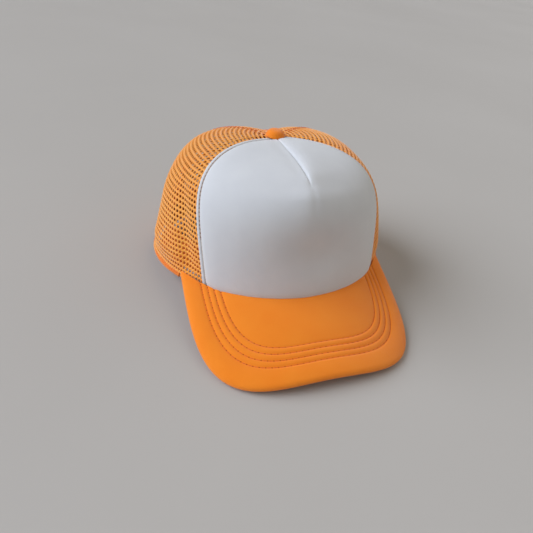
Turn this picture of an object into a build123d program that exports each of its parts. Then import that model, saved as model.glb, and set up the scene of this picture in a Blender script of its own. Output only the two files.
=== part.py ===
"""Trucker mesh cap: foam front panel, four mesh panels, padded visor and a snap closure at the back.

Millimetres, +Z up, visor towards -Y. The cap stands on its visor corners and its rear rim, and the origin is
on that surface, under the middle of the cap's outline. Azimuth is measured about the crown's upright axis,
from the front (-Y) towards +X, which is the wearer's left.
"""

import os
from math import atan2, cos, degrees, exp, hypot, pi, radians, sin

from build123d import *

# Crown: an oval rim that rises into a boxy dome, sunk a little round the top button.
HALF_WIDTH = 103.0
FRONT = 98.0
REAR = 90.0
HEIGHT = 110.0
APEX_BACK = 16.5
APEX_DIP, DIP_REACH = 2.3, 28.0
APEX_Z = HEIGHT - APEX_DIP
BOXINESS_FRONT, BOXINESS_SIDE, BOXINESS_REAR = 4.85, 3.1, 1.8
WAIST_FRONT, WAIST_SIDE = 0.06, 0.10
WAIST_AZIMUTH, WAIST_BLEND = 72.0, 9.0
PANEL_TOP = 0.957
TAPE_TOP = 0.9
NORMAL_STEP = 1e-4

# Seams: azimuths in degrees, at the rim and at the crown's top.
FRONT_SEAM_RIM, FRONT_SEAM_TOP = 47.5, 75.3
SIDE_SEAM = 122.0
SEAM_GAP = 0.3

# Cloth build-up, as distances out from the crown's surface.
FACE_OUT, FACE_IN = 0.0, -0.6
FOAM_OUT, FOAM_IN = -0.65, -3.0
MESH_OUT, MESH_IN = 0.0, -0.9
MESH_DROP_AT_SEAM = 2.0
MESH_DROP_SPAN = 7.0
TAPE_OUT, TAPE_IN = -3.1, -3.7
MESH_TAPE_OUT, MESH_TAPE_IN = -1.25, -1.85
TAPE_WIDTH = 12.0
THREAD = 0.7
THREAD_LIFT = 0.05
TOPSTITCH_INSET = 3.5
TOPSTITCH_BOTTOM, TOPSTITCH_TOP = 0.036, 0.944

# Visor: a padded crescent bent over a long parabola and tipped down towards the front.
VISOR_HALF_WIDTH = 88.0
VISOR_LENGTH = 59.5
VISOR_SEAM_Z = 28.4
VISOR_SLOPE = 0.295
VISOR_SAG = 17.5
VISOR_SQUARENESS = 3.75
VISOR_END = 62.0
VISOR_GAP = 0.2
VISOR_BLANK_MARGIN = 12.0
VISOR_BLANK_LENGTH = 140.0
OUTLINE_STEPS, FOOTPRINT_STEPS = 32, 48
PRISM_BOTTOM, PRISM_HEIGHT = -60.0, 160.0
TOP_COVER, PADDING, BOARD, UNDER_COVER = 0.6, 1.0, 1.8, 0.5
LAYER_GAP = 0.03
COVER_WRAP = 0.8
BOARD_INSET = 0.9
UNDER_COVER_INSET = 0.3
STITCH_ROWS = 4
FIRST_ROW_INSET = 13.0
ROW_PITCH = 4.25
ROW_THREAD = 0.8

# Rim, sweatband and hem. The stops are azimuths in degrees.
RIM_DROP = 3.9
REAR_RIM_Z = 1.5
VISOR_END_RIM_Z = 21.0
RIM_BLEND = 2.5
HEM_OUT, HEM_IN = 0.3, -1.2
HEM_LOW, HEM_HIGH = -1.3, -0.1
HEM_START, HEM_STOP = 62.5, 144.5
SWEATBAND_OUT, SWEATBAND_IN = -5.1, -6.3
SWEATBAND_LOW, SWEATBAND_HIGH = -0.3, 30.0
SWEATBAND_STOP = 145.5
SEAM_BINDING_OUT, SEAM_BINDING_IN = -3.8, -4.8
SEAM_BINDING_LOW, SEAM_BINDING_HIGH = 0.2, 9.0

# Rear opening and the snap straps across it. Strap azimuths are measured from the back.
ARCH_HALF_WIDTH = 48.0
ARCH_HEIGHT = 52.0
BINDING_WIDTH = 7.0
BINDING_OUT, BINDING_IN = 0.6, -1.6
BINDING_SLOT = 1.2
BINDING_PLAY = 0.1
ARCH_REACH = 400.0
STRAP_LOW, STRAP_HIGH = 0.9, 17.9
STRAP_ROOT = 29.0
STRAP_TIP = 9.0
TAB_END = 43.0
TAB_GAP = 0.8
TIP_ROUNDING = 0.7
HOLE_STRAP_OUT, HOLE_STRAP_IN = -2.0, -3.2
PEG_STRAP_OUT, PEG_STRAP_IN = -3.6, -4.8
PEG_PITCH = 5.0
PEG_COUNT = 7
FIRST_PEG = -5.0
PEG_RADIUS, PEG_TIP_RADIUS, PEG_HEIGHT = 1.9, 1.4, 1.7
PEG_SUNK = 0.3
HOLE_RADIUS = 2.15
PUNCH_MARGIN = 1.0

# Top button.
BUTTON_RADIUS = 7.9
BUTTON_HEIGHT = 5.4
BUTTON_RIM = 1.2
BUTTON_CLOTH = 0.5
BUTTON_METAL = 0.5
BUTTON_LIFT = 0.2
RIVET_RADIUS = 1.5
RIVET_DISC_RADIUS = 8.6
RIVET_DISC = 0.8
RIVET_DEPTH = 5.0
RIVET_GAP = 0.4

parts = {}


# ---- crown surface ----

def rim_radius(azimuth):
    """Distance of the rim from the crown's axis."""
    ahead = cos(azimuth)
    depth = FRONT if ahead > 0 else REAR
    return 1 / hypot(sin(azimuth) / HALF_WIDTH, ahead / depth)


def visor_height(x, y):
    """Height of the visor's top surface."""
    return VISOR_SEAM_Z + VISOR_SLOPE * (y + FRONT) - VISOR_SAG * (x / VISOR_HALF_WIDTH) ** 2


def rim_height(azimuth):
    """The rim follows the visor in front and eases down to the rear."""
    turn = abs(azimuth)
    reach = rim_radius(turn)
    front = visor_height(reach * sin(turn), -reach * cos(turn)) - RIM_DROP
    share = (turn - radians(VISOR_END)) / (pi - radians(VISOR_END))
    rear = VISOR_END_RIM_Z + (REAR_RIM_Z - VISOR_END_RIM_Z) * share * (2 - share)
    blend = 1 / (1 + exp((VISOR_END - degrees(turn)) / RIM_BLEND))
    return front + (rear - front) * blend


def crown_at(azimuth, rho, rise):
    """Point of the crown's surface at a share rho of the rim's radius and a share rise of its height."""
    side = 1 / (1 + exp((degrees(abs(azimuth)) - WAIST_AZIMUTH) / WAIST_BLEND))
    waist = WAIST_SIDE + (WAIST_FRONT - WAIST_SIDE) * side
    reach = rim_radius(azimuth) * rho * (1 - waist * sin(pi * rise))
    low = rim_height(azimuth)
    return Vector(
        reach * sin(azimuth),
        -reach * cos(azimuth) + APEX_BACK * rise**2,
        low + (HEIGHT - low) * rise - APEX_DIP * exp(-((reach / DIP_REACH) ** 2)),
    )


def boxiness(azimuth):
    """Exponent of the dome's upright section: high is boxy, 2 is an ellipse."""
    ahead = cos(azimuth)
    end = BOXINESS_FRONT if ahead > 0 else BOXINESS_REAR
    return BOXINESS_SIDE + (end - BOXINESS_SIDE) * ahead * ahead


def dome_point(azimuth, climb):
    """Crown surface by climb, 0 at the rim and 1 at the apex."""
    m = boxiness(azimuth)
    c, s = max(cos(climb * pi / 2), 1e-9), max(sin(climb * pi / 2), 1e-9)
    size = (c**m + s**m) ** (1 / m)
    return crown_at(azimuth, c / size, s / size)


def wall_point(azimuth, height):
    """Crown surface by height above the rim, in mm."""
    rise = height / (HEIGHT - rim_height(azimuth))
    m = boxiness(azimuth)
    rho = 1.0 if rise <= 0 else (1 - rise**m) ** (1 / m)
    return crown_at(azimuth, rho, rise)


def lifted(surface, a, b, out):
    """A surface's point moved out along its normal."""
    along = surface(a + NORMAL_STEP, b) - surface(a - NORMAL_STEP, b)
    up = surface(a, b + NORMAL_STEP) - surface(a, b - NORMAL_STEP)
    return surface(a, b) + along.cross(up).normalized() * out


def dome(azimuth, climb, out=0.0):
    return lifted(dome_point, azimuth, climb, out)


def wall(azimuth, height, out=0.0):
    return lifted(wall_point, azimuth, height, out)


# ---- solids from surfaces ----

def skin(surface, out, rows, columns):
    """Face through a grid of surface(across, up, out), with across and up from 0 to 1."""
    grid = [
        [surface(i / (columns - 1), j / (rows - 1), out) for i in range(columns)]
        for j in range(rows)
    ]
    return Face.make_surface_from_array_of_points(grid, tol=1e-3, min_deg=3, max_deg=5)


def slab(surface, inner, outer, rows=14, columns=14):
    """Closed solid between two copies of a surface."""
    outside = skin(surface, outer, rows, columns)
    inside = skin(surface, inner, rows, columns)
    sides = []
    for edge in outside.edges():
        mate = min(inside.edges(), key=lambda e: (e.center() - edge.center()).length)
        sides.append(Face.make_surface_from_curves(edge, mate))
    return Solid(Shell([outside, inside, *sides]))


def one(shape):
    """The single solid of a boolean's result."""
    solids = shape.solids()
    return max(solids, key=lambda s: s.volume)


def front_seam(climb):
    """Azimuth of the front panel's edge."""
    return radians(FRONT_SEAM_RIM + (FRONT_SEAM_TOP - FRONT_SEAM_RIM) * climb)


def mesh_drop(azimuth, climb):
    """The mesh starts below the foam at the front seam and eases out to the crown's surface."""
    away = degrees(abs(azimuth) - front_seam(climb))
    return -MESH_DROP_AT_SEAM * exp(-((max(away, 0) / MESH_DROP_SPAN) ** 2))


def turn_for(length, climb, azimuth):
    """Azimuth change that is a length along the crown's surface."""
    ahead = dome_point(azimuth + NORMAL_STEP, climb)
    behind = dome_point(azimuth - NORMAL_STEP, climb)
    return length * 2 * NORMAL_STEP / (ahead - behind).length


def panel(start, end, inner, outer, drop=None, rows=22, columns=22):
    """Crown panel between two seams, each an azimuth by climb."""

    def surface(across, up, out):
        climb = PANEL_TOP * up
        azimuth = start(climb) + (end(climb) - start(climb)) * across
        return dome(azimuth, climb, out + (drop(azimuth, climb) if drop else 0.0))

    return slab(surface, inner, outer, rows, columns)


def seam_strip(seam, sign, width, inner, outer, inset=0.0, bottom=0.0, top=TAPE_TOP):
    """Strip along a seam, such as a tape or a thread, centred on it or inset towards the front."""

    def surface(across, up, out):
        climb = bottom + (top - bottom) * up
        at = seam(climb)
        offset = turn_for(1.0, climb, at) * ((across - 0.5) * width - inset)
        return dome(sign * (at + offset), climb, out)

    return slab(surface, inner, outer, rows=22, columns=5)


def rim_band(start, end, low, high, inner, outer, columns=24):
    """Band round the crown's wall between two azimuths in degrees and two heights above the rim."""

    def surface(across, up, out):
        azimuth = radians(start + (end - start) * across)
        return wall(azimuth, low + (high - low) * up, out)

    return slab(surface, inner, outer, rows=6, columns=columns)


def beside(seam, sign, gap):
    """A seam's line on one side of the cap, moved by a gap along the crown."""

    def line(climb):
        at = seam(climb)
        return sign * (at + turn_for(gap, climb, at))

    return line


# ---- crown pieces ----

def front_panel():
    right_edge = beside(front_seam, -1, 0)
    left_edge = beside(front_seam, 1, 0)
    parts["front_panel_face"] = panel(right_edge, left_edge, FACE_IN, FACE_OUT, columns=26)
    parts["front_panel_foam"] = panel(right_edge, left_edge, FOAM_IN, FOAM_OUT, columns=26)
    for side, sign in (("left", 1), ("right", -1)):
        parts[f"front_topstitch_{side}"] = seam_strip(
            front_seam, sign, THREAD, THREAD_LIFT, THREAD_LIFT + THREAD / 2,
            inset=TOPSTITCH_INSET, bottom=TOPSTITCH_BOTTOM, top=TOPSTITCH_TOP,
        )


def side_seam(climb):
    return radians(SIDE_SEAM)


def back_seam(climb):
    return pi


def arch(grow):
    """Prism of the rear opening's outline, enlarged by grow, from the crown's axis backwards."""
    outline = Ellipse(ARCH_HALF_WIDTH + grow, ARCH_HEIGHT + grow)
    return extrude(Plane.XZ * outline, amount=-ARCH_REACH)


def mesh_panels():
    gap = SEAM_GAP / 2
    for side, sign in (("left", 1), ("right", -1)):
        parts[f"side_mesh_{side}"] = panel(
            beside(front_seam, sign, gap), beside(side_seam, sign, -gap),
            MESH_IN, MESH_OUT, drop=mesh_drop, columns=32,
        )
        rear = panel(beside(side_seam, sign, gap), beside(back_seam, sign, -gap), MESH_IN, MESH_OUT)
        parts[f"rear_mesh_{side}"] = one(rear - arch(BINDING_SLOT))


def seam_tapes():
    for side, sign in (("left", 1), ("right", -1)):
        parts[f"front_seam_tape_{side}"] = seam_strip(front_seam, sign, TAPE_WIDTH, TAPE_IN, TAPE_OUT)
        parts[f"side_seam_tape_{side}"] = seam_strip(
            side_seam, sign, TAPE_WIDTH, MESH_TAPE_IN, MESH_TAPE_OUT
        )
    back = seam_strip(back_seam, 1, TAPE_WIDTH, MESH_TAPE_IN, MESH_TAPE_OUT)
    parts["back_seam_tape"] = one(back - arch(BINDING_WIDTH + BINDING_PLAY))


def rear_binding():
    """Folded strip round the opening's edge, with the mesh in its slot."""
    slot_play = BINDING_PLAY / 2
    ring = None
    for sign in (1, -1):
        seams = beside(side_seam, sign, 0), beside(back_seam, sign, 0)
        band = panel(*seams, BINDING_IN, BINDING_OUT) & arch(BINDING_WIDTH)
        slot = panel(*seams, MESH_IN - slot_play, MESH_OUT + slot_play) - arch(BINDING_SLOT - BINDING_PLAY)
        side = one(band - arch(0) - slot)
        ring = side if ring is None else ring + side
    parts["rear_opening_binding"] = one(ring)


def rim_pieces():
    """Hem under the mesh, sweatband and the binding over the visor's seam."""
    for side, sign in (("left", 1), ("right", -1)):
        parts[f"rim_hem_{side}"] = rim_band(
            sign * HEM_START, sign * HEM_STOP, HEM_LOW, HEM_HIGH, HEM_IN, HEM_OUT
        )
    parts["sweatband"] = rim_band(
        -SWEATBAND_STOP, SWEATBAND_STOP, SWEATBAND_LOW, SWEATBAND_HIGH,
        SWEATBAND_IN, SWEATBAND_OUT, columns=40,
    )
    parts["visor_seam_binding"] = rim_band(
        -VISOR_END, VISOR_END, SEAM_BINDING_LOW, SEAM_BINDING_HIGH, SEAM_BINDING_IN, SEAM_BINDING_OUT
    )


# ---- visor ----

def visor_outline(inset):
    """Closed outline of the visor's outer edge, carried back inside the crown."""
    end = radians(VISOR_END)
    back = -rim_radius(end) * cos(end)
    length = back + FRONT + VISOR_LENGTH - inset
    width = VISOR_HALF_WIDTH - inset
    points = []
    for i in range(OUTLINE_STEPS + 1):
        turn = pi * (i / OUTLINE_STEPS - 0.5)
        s, c = sin(turn), cos(turn)
        size = (abs(s) ** VISOR_SQUARENESS + c**VISOR_SQUARENESS) ** (1 / VISOR_SQUARENESS)
        points.append((width * s / size, back - length * c / size))
    points[0], points[-1] = (-width, back), (width, back)
    edge = Spline(*points)
    return make_face(edge + Polyline(points[-1], (width, 0), (-width, 0), points[0]))


def crown_footprint(gap):
    """Outline of the crown's rim, for trimming the visor's inner edge."""
    points = []
    for i in range(FOOTPRINT_STEPS):
        at = wall(2 * pi * i / FOOTPRINT_STEPS - pi, 0, gap)
        points.append((at.X, at.Y))
    return make_face(Spline(*points, periodic=True))


def layer(bottom, top):
    """Slab of the visor's bent shape between two depths below its top surface."""
    x = VISOR_HALF_WIDTH + VISOR_BLANK_MARGIN
    y0 = -FRONT - VISOR_LENGTH - VISOR_BLANK_MARGIN

    def parabola(z):
        low = z - VISOR_SAG * (x / VISOR_HALF_WIDTH) ** 2
        return Bezier((-x, low), (0, 2 * z - low), (x, low)), (-x, low), (x, low)

    upper, ul, ur = parabola(top)
    lower, ll, lr = parabola(bottom)
    section = make_face(upper + Line(ur, lr) + lower + Line(ll, ul))
    section = Plane(origin=(0, y0, visor_height(0, y0)), x_dir=(1, 0, 0), z_dir=(0, -1, 0)) * section
    along = Vector(0, 1, VISOR_SLOPE).normalized()
    return Solid.extrude(section.face(), along * VISOR_BLANK_LENGTH)


def prism(face):
    """Upright prism of a plan face, taller than the visor."""
    return Pos(0, 0, PRISM_BOTTOM) * extrude(face, amount=PRISM_HEIGHT)


def crescent(inset, bottom, top):
    """One layer of the visor, cut to the outline and to the crown's rim."""
    plan = visor_outline(inset) - crown_footprint(VISOR_GAP)
    plan = max(plan.faces(), key=lambda f: f.area)
    return one(prism(plan) & layer(bottom, top))


def visor():
    depth_padding = -TOP_COVER - LAYER_GAP
    depth_board = depth_padding - PADDING - LAYER_GAP
    depth_under = depth_board - BOARD - LAYER_GAP
    cap = crescent(0, depth_under, 0)
    core = crescent(COVER_WRAP, depth_under - BOARD, -TOP_COVER)
    parts["visor_top_cover"] = one(cap - core)
    parts["visor_padding"] = crescent(BOARD_INSET, depth_padding - PADDING, depth_padding)
    parts["visor_board"] = crescent(BOARD_INSET, depth_board - BOARD, depth_board)
    parts["visor_under_cover"] = crescent(
        UNDER_COVER_INSET, depth_under - UNDER_COVER, depth_under - LAYER_GAP
    )
    for row in range(STITCH_ROWS):
        inset = FIRST_ROW_INSET + row * ROW_PITCH
        band = crescent(inset, THREAD_LIFT, THREAD_LIFT + ROW_THREAD / 2)
        hole = prism(visor_outline(inset + ROW_THREAD))
        parts[f"visor_stitch_row_{row + 1}"] = one(band - hole)


# ---- snap straps ----

def strap_point(azimuth, up):
    """Ruled band across the rear opening, straight from its lower to its upper edge."""
    turn = pi - azimuth
    low = wall_point(turn, STRAP_LOW - rim_height(turn))
    high = wall_point(turn, STRAP_HIGH - rim_height(turn))
    return low + (high - low) * up


def strap(azimuth, up, out=0.0):
    """Point of the strap band, moved outwards by out."""
    return lifted(strap_point, azimuth, up, -out)


def strap_band(start, end, inner, outer):
    def surface(across, up, out):
        return strap(radians(start + (end - start) * across), up, out)

    return slab(surface, inner, outer, rows=6, columns=12)


def at_strap(azimuth, out):
    """Plane on the strap's middle line, with its normal pointing outwards."""
    middle = strap(azimuth, 0.5, out)
    normal = strap(azimuth, 0.5, out + 1) - middle
    return Plane(origin=middle, x_dir=strap(azimuth, 1.0, out) - strap(azimuth, 0.0, out), z_dir=normal)


def rounded_tip(band, side, inner, outer):
    """Cuts a strap's free end round."""
    tip = radians(-side * STRAP_TIP)
    width = STRAP_HIGH - STRAP_LOW
    reach = width / 2
    plane = at_strap(tip, (inner + outer) / 2)
    along = at_strap(0, 0).origin - at_strap(tip, 0).origin
    frame = Plane(origin=plane.origin, x_dir=along, z_dir=plane.z_dir)
    tongue = Pos(reach, 0) * RectangleRounded(width, width, TIP_ROUNDING * reach)
    corners = Rectangle(reach, 2 * width) - tongue
    cutter = extrude(frame * Pos(reach / 2, 0) * corners, amount=width / 2, both=True)
    return one(band - cutter)


def strap_root(side):
    """Azimuth of a strap's hinge line."""
    return radians(side * STRAP_ROOT)


def snap_straps():
    upright = (Align.CENTER, Align.CENTER, Align.MIN)
    for name, side, inner, outer in (
        ("hole_strap", 1, HOLE_STRAP_IN, HOLE_STRAP_OUT),
        ("peg_strap", -1, PEG_STRAP_IN, PEG_STRAP_OUT),
    ):
        band = strap_band(side * STRAP_ROOT, -side * STRAP_TIP, inner, outer)
        band = rounded_tip(band, side, inner, outer)
        places = [radians(side * (FIRST_PEG + PEG_PITCH * i)) for i in range(PEG_COUNT)]
        if name == "hole_strap":
            depth = outer - inner + 2 * PUNCH_MARGIN
            for place in places:
                plane = at_strap(place, inner - PUNCH_MARGIN)
                band = band - extrude(plane * Circle(HOLE_RADIUS), amount=depth)
        else:
            for place in places:
                plane = at_strap(place, outer - PEG_SUNK)
                peg = Cone(PEG_RADIUS, PEG_TIP_RADIUS, PEG_HEIGHT + PEG_SUNK, align=upright)
                band = band + plane.location * peg
        parts[name] = one(band)
        root = STRAP_ROOT + degrees(TAB_GAP / REAR)
        parts[f"{name}_sewn_end"] = strap_band(side * root, side * TAB_END, inner, outer)


# ---- top button ----

def dome_shell(inset, thickness):
    """Hollow button dome, set in from the button's outside."""

    def section(depth):
        radius, height = BUTTON_RADIUS - depth, BUTTON_HEIGHT - depth
        rise = height - BUTTON_RIM
        ball = (radius**2 + rise**2) / (2 * rise)
        edge = degrees(atan2(ball - rise, radius))
        arc = CenterArc((0, height - ball), ball, start_angle=edge, arc_size=90 - edge)
        return make_face(Polyline((0, height), (0, 0), (radius, 0), (radius, BUTTON_RIM)) + arc)

    wall_section = section(inset) - section(inset + thickness)
    return one(revolve(Plane.XZ * wall_section, axis=Axis.Z, revolution_arc=360))


def top_button():
    seat = Pos(0, APEX_BACK, APEX_Z + BUTTON_LIFT)
    cloth = BUTTON_CLOTH + LAYER_GAP
    parts["button_cover"] = seat * dome_shell(0, BUTTON_CLOTH)
    parts["button_shell"] = seat * dome_shell(cloth, BUTTON_METAL)
    stem = RIVET_DEPTH + BUTTON_HEIGHT - cloth - BUTTON_METAL - RIVET_GAP
    upright = (Align.CENTER, Align.CENTER, Align.MIN)
    hanging = (Align.CENTER, Align.CENTER, Align.MAX)
    rivet = Cylinder(RIVET_RADIUS, stem, align=upright) + Cylinder(RIVET_DISC_RADIUS, RIVET_DISC, align=hanging)
    parts["button_rivet"] = seat * Pos(0, 0, -RIVET_DEPTH) * one(rivet)


def main():
    front_panel()
    mesh_panels()
    seam_tapes()
    rear_binding()
    rim_pieces()
    visor()
    snap_straps()
    top_button()

    boxes = [shape.bounding_box() for shape in parts.values()]
    low = [min(getattr(box.min, axis) for box in boxes) for axis in "XYZ"]
    high = [max(getattr(box.max, axis) for box in boxes) for axis in "XYZ"]
    place = Pos(-(low[0] + high[0]) / 2, -(low[1] + high[1]) / 2, -low[2])
    os.makedirs("parts", exist_ok=True)
    for name, shape in parts.items():
        export_step(place * shape, f"parts/{name}.step")
    for name, side, middle in (
        ("hole_strap", 1, (HOLE_STRAP_IN + HOLE_STRAP_OUT) / 2),
        ("peg_strap", -1, (PEG_STRAP_IN + PEG_STRAP_OUT) / 2),
    ):
        foot = place.position + strap(strap_root(side), 0, middle)
        head = place.position + strap(strap_root(side), 1, middle)
        print(name, "hinge at", foot, "axis", (head - foot).normalized())
    print("size", [high[i] - low[i] for i in range(3)], "moved by", place.position)


main()
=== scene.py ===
from math import cos, pi, radians, sin

import bmesh
import bpy
import numpy as np
from mathutils import Matrix, Vector, kdtree


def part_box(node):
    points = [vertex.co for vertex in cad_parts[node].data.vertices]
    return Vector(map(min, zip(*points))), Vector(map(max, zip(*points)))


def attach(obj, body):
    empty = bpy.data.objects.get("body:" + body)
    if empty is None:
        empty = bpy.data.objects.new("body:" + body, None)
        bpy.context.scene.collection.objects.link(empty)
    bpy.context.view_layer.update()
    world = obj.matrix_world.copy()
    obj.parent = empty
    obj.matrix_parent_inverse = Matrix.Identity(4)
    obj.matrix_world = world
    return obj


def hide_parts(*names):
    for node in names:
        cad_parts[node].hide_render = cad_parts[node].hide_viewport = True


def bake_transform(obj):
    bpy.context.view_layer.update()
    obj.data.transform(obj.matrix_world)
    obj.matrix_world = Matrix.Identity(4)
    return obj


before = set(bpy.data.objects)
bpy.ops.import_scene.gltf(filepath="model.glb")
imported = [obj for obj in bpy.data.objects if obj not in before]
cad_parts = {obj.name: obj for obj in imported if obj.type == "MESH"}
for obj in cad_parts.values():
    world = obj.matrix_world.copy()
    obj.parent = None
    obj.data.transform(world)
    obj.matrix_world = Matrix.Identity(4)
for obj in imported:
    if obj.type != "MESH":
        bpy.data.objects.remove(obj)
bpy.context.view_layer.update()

# The crown's driving sizes, in millimetres and degrees, as in the CAD part.
HALF_WIDTH, FRONT, REAR, HEIGHT, APEX_BACK = 103.0, 98.0, 90.0, 110.0, 16.5
APEX_DIP, DIP_REACH = 2.3, 28.0
APEX_Z = HEIGHT - APEX_DIP
BOXINESS_FRONT, BOXINESS_SIDE, BOXINESS_REAR = 4.85, 3.1, 1.8
WAIST_FRONT, WAIST_SIDE, WAIST_AZIMUTH, WAIST_BLEND = 0.06, 0.10, 72, 9
PANEL_TOP, TAPE_TOP = 0.975, 0.9
FRONT_SEAM_RIM, FRONT_SEAM_TOP, SIDE_SEAM = 47.5, 75.3, 122.0
RIM_DROP, REAR_RIM_Z, VISOR_END_RIM_Z, RIM_BLEND = 3.9, 1.5, 21.0, 2.5
MESH_DROP_AT_SEAM, MESH_DROP_SPAN = 2.0, 7.0

VISOR_HALF_WIDTH, VISOR_LENGTH, VISOR_SEAM_Z = 88.0, 59.5, 28.4
VISOR_SLOPE, VISOR_SAG, VISOR_SQUARENESS, VISOR_END = 0.295, 17.5, 3.75, 62.0
VISOR_THICKNESS, VISOR_CLOTH, VISOR_FOAM_TOP, VISOR_FOAM_BOTTOM = 3.9, 0.45, -0.7, -1.65
STITCH_ROWS, FIRST_ROW_INSET, ROW_PITCH = 4, 13.0, 4.25
LAST_ROW_INSET = FIRST_ROW_INSET + (STITCH_ROWS - 1) * ROW_PITCH
FINE_INSET, DEEPEST_INSET = LAST_ROW_INSET + 3, VISOR_LENGTH + 45

ARCH_HALF_WIDTH, ARCH_HEIGHT, BINDING_WIDTH, REAR_REACH = 48.0, 52.0, 7.0, 98.0
STRAP_LOW, STRAP_HIGH, STRAP_ROOT, STRAP_TIP, TAB_END = 0.9, 17.9, 29.0, 9.0, 43.0
PEG_PROFILE = (
    (1.9, -0.1), (1.85, 0.25), (1.62, 0.55), (1.5, 1.0), (1.5, 1.35), (1.25, 1.62), (0.7, 1.7),
)
HOLE_STRAP_IN, HOLE_STRAP_OUT, PEG_STRAP_IN, PEG_STRAP_OUT = -3.2, -2.0, -4.8, -3.6
PEG_PITCH, PEG_COUNT, FIRST_PEG, HOLE_RADIUS = 5.0, 7, -5.0, 2.15

BUTTON_RADIUS = 7.9
HEM_LOW, HEM_HIGH, HEM_STITCHES = -1.3, 2.2, 1.3
SWEATBAND_LOW, SWEATBAND_HIGH, SWEATBAND_IN, SWEATBAND_OUT = -0.3, 30, -6.3, -5.1
BINDING_STITCHES = ((1, 1.6), (2, 5.6))
SEAM_STITCHES = ((1, -1.3), (2, 1.3))

# Sections of the tapes and the binding: low and high edge, inner and outer face.
FRONT_TAPE, MESH_TAPE = (-6, 1.2, -3.75, -3.1), (-5, 5, -1.85, -1.25)
VISOR_BINDING = (0.2, 9.0, -4.8, -3.8)

# The crown's axis and height in the frame, read from the top button.
low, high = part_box("button_cover")
SHIFT = np.array([0.0, 1000 * (low.y + high.y) / 2 - APEX_BACK, 1000 * low.z - APEX_Z - 0.2])

# Cloth details, in millimetres.
MESH_ROW, MESH_COLUMN, MESH_SINK, MESH_TUCK = 3.8, 3.0, 0.45, 1.5
HOLE_ACROSS, HOLE_UP = 0.33, 0.25
FIRST_ROW, EDGE_SNAP, ARCH_CLEARANCE = 0.4, 0.9, 3.2
RIB_HEIGHT, LINK_HEIGHT = 0.85, 0.40
EDGE_STRIP, EDGE_DROP, SHOULDER = 3.8, 1.5, 5.5
DART_END, DART_RIDGE, DART_CREASE = 0.545, 2.6, 1.1
PEAK_HEIGHT, PEAK_SPREAD, HOLLOW_DEPTH = 5.6, 22, 4.6
STITCH_DIP = 0.35
NEEDLE_HOLE = ((0.6, -1.2), (1.7, -0.4), (1.9, 0.1), (1.2, 0.45), (0.3, 0.5))
PAD_PRESSURE, PAD_SWELL, SIM_FRAMES = 14.0, 0.0008, 20


# ---- crown surface ----

def rim_radius(azimuth):
    ahead = np.cos(azimuth)
    depth = np.where(ahead > 0, FRONT, REAR)
    return 1 / np.hypot(np.sin(azimuth) / HALF_WIDTH, ahead / depth)


def visor_height(x, y):
    return VISOR_SEAM_Z + VISOR_SLOPE * (y + FRONT) - VISOR_SAG * (x / VISOR_HALF_WIDTH) ** 2


def rim_height(azimuth):
    turn = np.abs(azimuth)
    reach = rim_radius(turn)
    front = visor_height(reach * np.sin(turn), -reach * np.cos(turn)) - RIM_DROP
    share = (turn - radians(VISOR_END)) / (pi - radians(VISOR_END))
    rear = VISOR_END_RIM_Z + (REAR_RIM_Z - VISOR_END_RIM_Z) * share * (2 - share)
    blend = 1 / (1 + np.exp((VISOR_END - np.degrees(turn)) / RIM_BLEND))
    return front + (rear - front) * blend


def crown_at(azimuth, rho, rise):
    side = 1 / (1 + np.exp((np.degrees(np.abs(azimuth)) - WAIST_AZIMUTH) / WAIST_BLEND))
    waist = WAIST_SIDE + (WAIST_FRONT - WAIST_SIDE) * side
    reach = rim_radius(azimuth) * rho * (1 - waist * np.sin(pi * rise))
    base = rim_height(azimuth)
    dip = APEX_DIP * np.exp(-((reach / DIP_REACH) ** 2))
    return np.stack(
        [
            reach * np.sin(azimuth),
            -reach * np.cos(azimuth) + APEX_BACK * rise**2,
            base + (HEIGHT - base) * rise - dip,
        ],
        axis=-1,
    )


def boxiness(azimuth):
    ahead = np.cos(azimuth)
    end = np.where(ahead > 0, BOXINESS_FRONT, BOXINESS_REAR)
    return BOXINESS_SIDE + (end - BOXINESS_SIDE) * ahead**2


def dome_point(azimuth, climb):
    """Crown surface by climb, 0 at the rim and 1 at the apex."""
    m = boxiness(azimuth)
    c = np.maximum(np.cos(climb * pi / 2), 1e-9)
    s = np.maximum(np.sin(climb * pi / 2), 1e-9)
    size = (c**m + s**m) ** (1 / m)
    return crown_at(azimuth, c / size, s / size)


def wall_point(azimuth, height):
    """Crown surface by height above the rim, in millimetres."""
    rise = height / (HEIGHT - rim_height(azimuth))
    m = boxiness(azimuth)
    rho = (1 - np.clip(rise, 0, 0.999) ** m) ** (1 / m)
    return crown_at(azimuth, rho, rise)


def lifted(surface, a, b, out):
    """Points of a surface, moved out along its normal."""
    a, b, out = np.broadcast_arrays(a, b, out)
    step = 1e-4
    along = surface(a + step, b) - surface(a - step, b)
    up = surface(a, b + step) - surface(a, b - step)
    normal = np.cross(along, up)
    normal /= np.linalg.norm(normal, axis=-1, keepdims=True)
    return surface(a, b) + normal * out[..., None]


def dome(azimuth, climb, out=0.0):
    return lifted(dome_point, azimuth, climb, out)


def wall(azimuth, height, out=0.0):
    return lifted(wall_point, azimuth, height, out)


def per_radian(azimuth, climb):
    """Millimetres along the surface for each radian of azimuth."""
    step = 1e-4
    span = dome_point(azimuth + step, climb) - dome_point(azimuth - step, climb)
    return np.linalg.norm(span, axis=-1) / (2 * step)


def front_seam(climb):
    return np.radians(FRONT_SEAM_RIM + (FRONT_SEAM_TOP - FRONT_SEAM_RIM) * climb)


def side_seam(climb):
    return np.radians(SIDE_SEAM) + 0 * climb


def back_seam(climb):
    return pi + 0 * climb


def bump(x, centre, width):
    return np.exp(-(((x - centre) / width) ** 2))


def ramp(x, start, end):
    t = np.clip((x - start) / (end - start), 0, 1)
    return t * t * (3 - 2 * t)


# ---- meshes ----

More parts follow.
